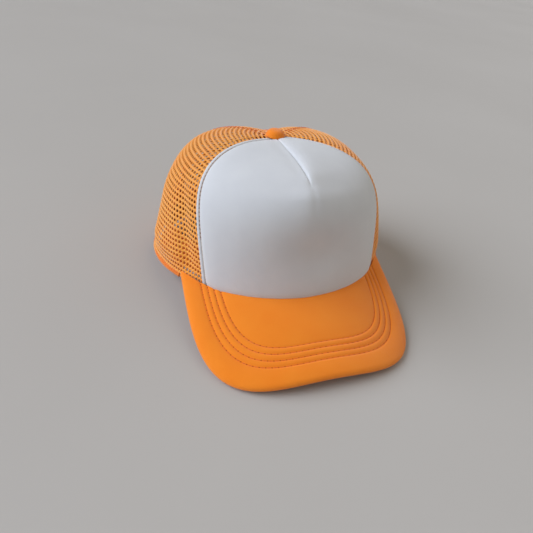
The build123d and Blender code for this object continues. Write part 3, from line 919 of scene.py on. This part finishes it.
def visor():
    tuck = 1.0
    u = visor_columns(230, tuck)
    limit = crown_inset(u, tuck)
    radius = VISOR_THICKNESS / 2

    # The top cover's section: over the top, round the edge and a little way under.
    levels = np.concatenate([np.arange(0, FINE_INSET, 0.55), np.arange(FINE_INSET, DEEPEST_INSET, 1.6)])
    levels = levels[::-1]
    inset = np.minimum(levels[:, None], limit[None, :])
    soft_edge = radius * (np.sqrt(1 - (1 - np.clip(inset / radius, 0, 1)) ** 2) - 1)
    relief = visor_relief(inset) * ramp(inset, 0, 2.5)
    top = visor_point(u[None, :] + 0 * inset, inset, soft_edge + relief)
    turn = np.linspace(0, pi / 2, 7)[1:, None]
    under_inset = np.minimum(radius * (1 - np.cos(turn)) + 0 * u[None, :], limit[None, :])
    drop = -radius - radius * np.sin(turn) + 0 * u[None, :]
    roll = visor_point(u[None, :] + 0 * under_inset, under_inset, drop)
    lip = np.minimum(np.array([2.6, 3.2])[:, None] + 0 * u[None, :], limit[None, :])
    lip = visor_point(u[None, :] + 0 * lip, lip, -VISOR_THICKNESS + 0 * lip)
    outer = np.concatenate([top, roll, lip])
    cover = shell_by_normal(
        "visor_top_cover", outer, VISOR_CLOTH, ORANGE_COVER,
        nodes=["visor_top_cover"], slot="visor_fabric",
    )
    swell_cloth(cover, [top[0], *stitch_paths()], 1.3)

    levels = np.concatenate([np.arange(2.2, 20, 1.2), np.arange(20, DEEPEST_INSET, 2.5)])
    inset = np.minimum(levels[:, None], limit[None, :])
    across = u[None, :] + 0 * inset
    foam = shell(
        "visor_foam", visor_point(across, inset, 0.5 * visor_relief(inset) + VISOR_FOAM_TOP),
        visor_point(across, inset, VISOR_FOAM_BOTTOM), FOAM_WITH_PAINTED_SHADE,
        nodes=["visor_padding"], slot="front_foam",
    )
    rows = sum(bump(inset, FIRST_ROW_INSET + k * ROW_PITCH, 0.6) for k in range(STITCH_ROWS))
    depth = -VISOR_THICKNESS + 0.1 + 0.15 * rows
    shell(
        "visor_under_cover", visor_point(across, inset, depth + VISOR_CLOTH),
        visor_point(across, inset, depth), ORANGE_COVER,
        nodes=["visor_under_cover"], slot="visor_fabric",
    )

    for row, path in enumerate(stitch_paths()):
        normal = np.array([0, -VISOR_SLOPE, 1.0]) / np.hypot(1, VISOR_SLOPE)
        normal = np.tile(normal, (len(path), 1))
        normal[:, 0] = 2 * VISOR_SAG * path[:, 0] / VISOR_HALF_WIDTH**2
        normal /= np.linalg.norm(normal, axis=1, keepdims=True)
        thread(
            f"visor_stitch_row_{row + 1}", path, normal, ORANGE_THREAD, stitch=3.5, gap=0.9,
            radius=0.36, dots=NEEDLE_HOLE_SHADE_ORANGE,
            nodes=[f"visor_stitch_row_{row + 1}"], slot="orange_thread",
        )


def shell_by_normal(name, outer, thickness, material, **facts):
    """Closed shell under a grid of points, thickened along the grid's own normals."""
    along = np.gradient(outer, axis=1)
    up = np.gradient(outer, axis=0)
    normal = np.cross(along, up)
    size = np.linalg.norm(normal, axis=-1, keepdims=True)
    normal = np.where(size > 1e-9, normal / np.maximum(size, 1e-9), 0)
    if normal[0, normal.shape[1] // 2, 2] > 0:
        normal = -normal
    return shell(name, outer, outer + normal * thickness, material, **facts)


# ---- straps ----

def strap_point(azimuth, up):
    turn = pi - azimuth
    base = rim_height(np.abs(turn))
    low_edge = wall_point(turn, STRAP_LOW - base)
    high_edge = wall_point(turn, STRAP_HIGH - base)
    return low_edge + (high_edge - low_edge) * up[..., None]


def strap(azimuth, up, out):
    return lifted(strap_point, azimuth, up, -out)


def strap_mesh(side, inner, outer, holes):
    """Strap from its sewn end to its round tip, with real holes.

    Places on it are pairs of degrees round the crown and millimetres across.
    """
    width = STRAP_HIGH - STRAP_LOW
    step = strap_point(np.array(0.01), np.array(0.5)) - strap_point(np.array(0.0), np.array(0.5))
    degree = np.linalg.norm(step) / np.degrees(0.01)
    half = PEG_PITCH * degree / 2
    lines = np.array([-8.5, -8.05, -6.0, -half, -0.414 * half, 0, 0.414 * half, half, 6.0, 8.05, 8.5])
    centres = [FIRST_PEG + PEG_PITCH * i for i in range(PEG_COUNT)]
    first, last = -STRAP_TIP, TAB_END
    ticks = {round(c + f * PEG_PITCH / 2, 4) for c in centres for f in (-1, -0.414, 0, 0.414, 1)}
    ticks |= {round(v, 4) for v in np.arange(centres[-1] + PEG_PITCH / 2, last + 0.01, 1.25)}
    tip = centres[0] - PEG_PITCH / 2
    ticks |= {round(float(v), 4) for v in np.linspace(first, tip, 5)}
    ticks = sorted(ticks)
    index, points = {}, []

    def rounded(angle, across):
        if angle < tip:
            share = (tip - angle) / (tip - first) * 0.93
            across = across * (1 - share**2.6) ** (1 / 2.6)
        return angle, across

    def vertex(angle, across, extra=""):
        key = (round(angle, 4), round(across, 4), extra)
        if key not in index:
            index[key] = len(points)
            points.append(rounded(angle, across))
        return index[key]

    quads = []
    middle = [k for k, v in enumerate(lines) if abs(v) <= half + 1e-6]
    for a, b in zip(ticks, ticks[1:]):
        reach = PEG_PITCH / 2 + 1e-6
        in_cell = any(c - reach <= a and b <= c + reach for c in centres)
        for k in range(len(lines) - 1):
            if holes and in_cell and k in middle and k + 1 in middle:
                continue
            corners = (a, lines[k]), (b, lines[k]), (b, lines[k + 1]), (a, lines[k + 1])
            quads.append([vertex(*corner) for corner in corners])
    if holes:
        for c in centres:
            border, rings = [], []
            for step in range(16):
                turn = 2 * pi * step / 16
                x, y = cos(turn), sin(turn)
                square = 1 / max(abs(x), abs(y))
                bx = round(x * square, 3) if abs(abs(x * square) - 0.414) > 0.01 else np.sign(x) * 0.414
                by = round(y * square, 3) if abs(abs(y * square) - 0.414) > 0.01 else np.sign(y) * 0.414
                border.append(vertex(c + bx * PEG_PITCH / 2, by * half))
                for number, radius in enumerate((HOLE_RADIUS + 0.45, HOLE_RADIUS)):
                    rings.append((number, step, vertex(c + x * radius / degree, y * radius, f"h{c}")))
            loops = [border] + [[v for n, s, v in rings if n == number] for number in (0, 1)]
            for outer_loop, inner_loop in zip(loops, loops[1:]):
                for step in range(16):
                    after = (step + 1) % 16
                    quads.append(
                        [outer_loop[step], outer_loop[after], inner_loop[after], inner_loop[step]]
                    )
    angles = np.radians(side * np.array([p[0] for p in points]))
    up = 0.5 + np.array([p[1] for p in points]) / width
    count = len(points)
    solid = np.concatenate([strap(angles, up, outer), strap(angles, up, inner)])
    faces = quads + [[v + count for v in q[::-1]] for q in quads]
    used = {}
    for q in quads:
        for a, b in zip(q, q[1:] + q[:1]):
            pair = frozenset((a, b))
            used[pair] = used.get(pair, 0) + 1
    edges = [tuple(pair) for pair, n in used.items() if n == 1]
    faces += [[a, b, b + count, a + count] for a, b in edges]
    return solid, faces


def pegs(side, outer):
    """Snap pegs, turned as small domes that narrow from their roots."""
    sides = 20
    turn = circle(sides)
    points, faces = [], []
    for i in range(PEG_COUNT):
        azimuth = np.radians(side * (FIRST_PEG + PEG_PITCH * i))
        base = strap(azimuth, 0.5, outer)
        out = strap(azimuth, 0.5, outer + 1) - base
        up = strap(azimuth, 1.0, outer) - strap(azimuth, 0.0, outer)
        up /= np.linalg.norm(up)
        across = np.cross(out, up)
        first = len(points) * sides
        ring = up * np.cos(turn)[:, None] + across * np.sin(turn)[:, None]
        for radius, height in PEG_PROFILE:
            points.append(base + out * height + ring * radius)
        faces += capped_faces(len(PEG_PROFILE), sides, first)
    return np.concatenate(points), faces


def straps():
    for name, side, inner, outer in (
        ("hole_strap", 1, HOLE_STRAP_IN, HOLE_STRAP_OUT),
        ("peg_strap", -1, PEG_STRAP_IN, PEG_STRAP_OUT),
    ):
        points, faces = strap_mesh(side, inner, outer, holes=name == "hole_strap")
        obj = piece(
            name, points, faces, ORANGE_PLASTIC, nodes=[name, f"{name}_sewn_end"], body=None,
            slot="strap_plastic", levels=1,
        )
        turns = np.radians(side * np.array([STRAP_ROOT + 0.5, STRAP_ROOT - 2.2]))
        start, end = (Vector((p + SHIFT) / 1000) for p in strap(turns, 0.5, (inner + outer) / 2))
        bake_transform(obj)
        if name == "peg_strap":
            points, faces = pegs(side, outer)
            piece("snap_pegs", points, faces, ORANGE_PLASTIC, body="peg_strap", slot="strap_plastic")
        corners = [(31.5, 0.15), (40.5, 0.15), (40.5, 0.85), (31.5, 0.85), (31.5, 0.15), (40.5, 0.85)]
        route = np.concatenate(
            [np.linspace(a, b, 30)[:-1] for a, b in zip(np.array(corners), np.array(corners)[1:])]
        )
        path = strap(np.radians(side * route[:, 0]), route[:, 1], 0.75)
        normal = strap(np.radians(side * route[:, 0]), route[:, 1], 1.75) - path
        thread(
            f"{name}_box_stitch", path, normal, ORANGE_THREAD, stitch=2.2, gap=0.6, radius=0.24,
            slot="orange_thread",
        )


# ---- button ----

def button():
    sides, rows = 64, 22
    t = np.linspace(0.02, 1, rows)[:, None]
    turn = circle(sides)[None, :]
    radius = BUTTON_RADIUS * np.sin(t * pi / 2) ** 0.92
    height = -1.3 + 6.9 * np.clip(1 - (radius / (BUTTON_RADIUS + 0.05)) ** 3.0, 0, 1) ** (1 / 2.2)
    gather = 0.12 * ramp(t, 0.75, 1.0) * (np.sin(turn * 13) + 0.6 * np.sin(turn * 21 + 1))
    radius = radius * (1 + gather / BUTTON_RADIUS) - 0.5 * ramp(t, 0.94, 1.0)

    def dome_of(reach, top):
        x, y = reach * np.cos(turn), APEX_BACK + reach * np.sin(turn)
        return np.stack([x, y, APEX_Z + top + 0 * turn], axis=-1)

    outer = dome_of(radius, height)
    inner = dome_of(radius * 0.93, (height + 1.2) * 0.9 - 1.2)
    rings = np.concatenate([outer, inner[::-1]])
    tube("button_cover", rings, ORANGE_COVER, nodes=["button_cover"], slot="visor_fabric")


# ---- carried-over CAD pieces ----

def finish_cad():
    for node, material in (
        ("visor_board", BOARD_PLASTIC),
        ("button_shell", BUTTON_METAL),
        ("button_rivet", BUTTON_METAL),
    ):
        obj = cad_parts[node]
        obj.data.materials.clear()
        obj.data.materials.append(material)


# ---- stage ----

# Yaw, pitch and roll in degrees, place in millimetres in the crown's frame.
CAMERA_TURN, CAMERA_LENS, CAMERA_PLACE = (23.215, 39.042, 9.505), 28.165, (-123.69, -299.50, 242.48)
FLOOR_REACH, WALL_REACH, WALL_HEIGHT = 40.0, 30.0, 9.0
FLOOR_LOW, FLOOR_HIGH = (0.485, 0.455, 0.42), (0.51, 0.48, 0.445)


def camera():
    yaw, pitch, roll = (radians(angle) for angle in CAMERA_TURN)
    data = bpy.data.cameras.new("camera")
    data.sensor_width = 36.0
    data.lens = CAMERA_LENS
    obj = added("camera", data)
    turn = Matrix.Rotation(-yaw, 4, "Z") @ Matrix.Rotation(pi / 2 - pitch, 4, "X")
    turn = turn @ Matrix.Rotation(roll, 4, "Z")
    place = Vector(CAMERA_PLACE) + Vector(SHIFT)
    obj.matrix_world = Matrix.Translation(place / 1000) @ turn
    bpy.context.scene.camera = obj


def light(name, towards, strength, spread, colour):
    """Soft light from a direction; spread is the angle, in degrees, that its source fills."""
    data = bpy.data.lights.new(name, "SUN")
    data.energy = strength
    data.angle = radians(spread)
    data.color = colour
    added(name, data).rotation_euler = Vector(towards).to_track_quat("Z", "Y").to_euler()


def studio():
    mesh = bpy.data.meshes.new("floor")
    corners = ((-1, -1), (1, -1), (1, 1), (-1, 1))
    mesh.from_pydata([(FLOOR_REACH * x, FLOOR_REACH * y, 0) for x, y in corners], [], [(0, 1, 2, 3)])
    material, tree, shader = nodes_of("pale_floor")
    patches = noise(tree, 2.0)
    colour = mixed(tree, patches.outputs["Fac"], FLOOR_LOW, FLOOR_HIGH)
    tree.links.new(colour, shader.inputs["Base Color"])
    shader.inputs["Roughness"].default_value = 0.7
    mesh.materials.append(material)
    turn = circle(96)
    ring = [(WALL_REACH * cos(a), WALL_REACH * sin(a), z) for z in (-0.01, WALL_HEIGHT) for a in turn]
    wall_mesh = bpy.data.meshes.new("far_wall")
    wall_mesh.from_pydata(ring, [], grid_faces(2, len(turn), wrap=True))
    wall_mesh.materials.append(material)
    added("floor", mesh)
    added("far_wall", wall_mesh)
    light("window", (-0.84, 0.24, 0.53), 3.8, 50.0, (0.82, 0.885, 1.0))
    light("room", (0.85, -0.2, 0.5), 0.85, 100.0, (1.0, 0.91, 0.74))
    world = bpy.data.worlds.new("room")
    bpy.context.scene.world = world
    world.use_nodes = True
    background = world.node_tree.nodes["Background"]
    background.inputs["Color"].default_value = (0.92, 0.93, 0.95, 1)
    background.inputs["Strength"].default_value = 0.24
    bpy.context.scene.view_settings.view_transform = "Standard"


camera()
front_panel()
mesh_panels()
seam_tapes()
rim_pieces()
rear_binding()
visor()
straps()
button()
finish_cad()
studio()
